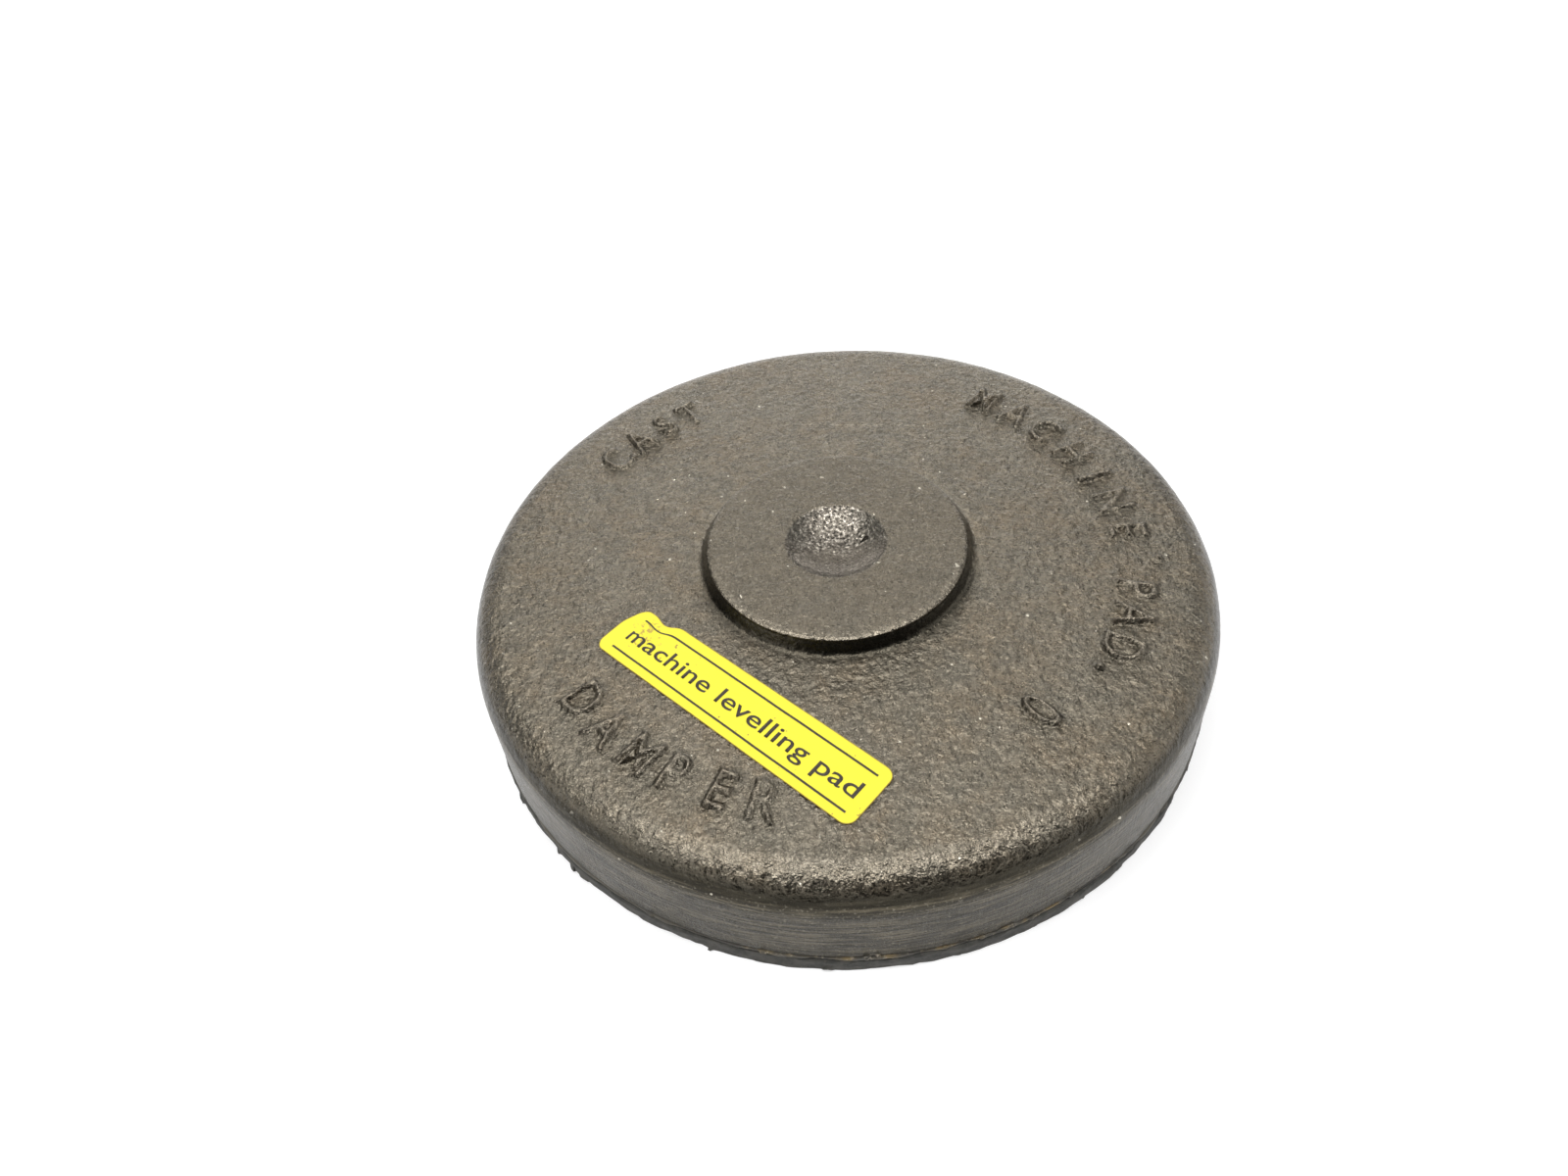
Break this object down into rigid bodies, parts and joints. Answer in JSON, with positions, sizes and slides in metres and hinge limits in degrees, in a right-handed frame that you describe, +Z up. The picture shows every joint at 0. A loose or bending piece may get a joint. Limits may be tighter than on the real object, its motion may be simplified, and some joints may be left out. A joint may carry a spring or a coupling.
{
  "type": "machine levelling pad",
  "caption": "Round cast iron machine levelling pad with a central boss and levelling screw socket, over an elastomer core and a flat non-skid rubber sole.",
  "frame": {"origin": "centre of the sole's underside, where the pad meets the floor", "axes": "+Z up through the centre of the pad and its screw socket; +X to the right and -Y towards the viewer, with the label at the front left"},
  "size_m": [0.1544, 0.1544, 0.0282],
  "materials": {
    "cast_iron": "rough sand cast skin, oiled brown-grey, satin",
    "core_rubber": "matte black elastomer",
    "sole_rubber": "dusty black rubber sheet, cut edge",
    "glue": "dried golden brown contact glue",
    "label_vinyl": "yellow vinyl, slight gloss"
  },
  "bodies": {
    "root": {"cap_casting": "cast_iron", "damping_core": "core_rubber", "nonskid_sole": "sole_rubber", "glue_line": "glue", "label": "label_vinyl"}
  },
  "joints": []
}
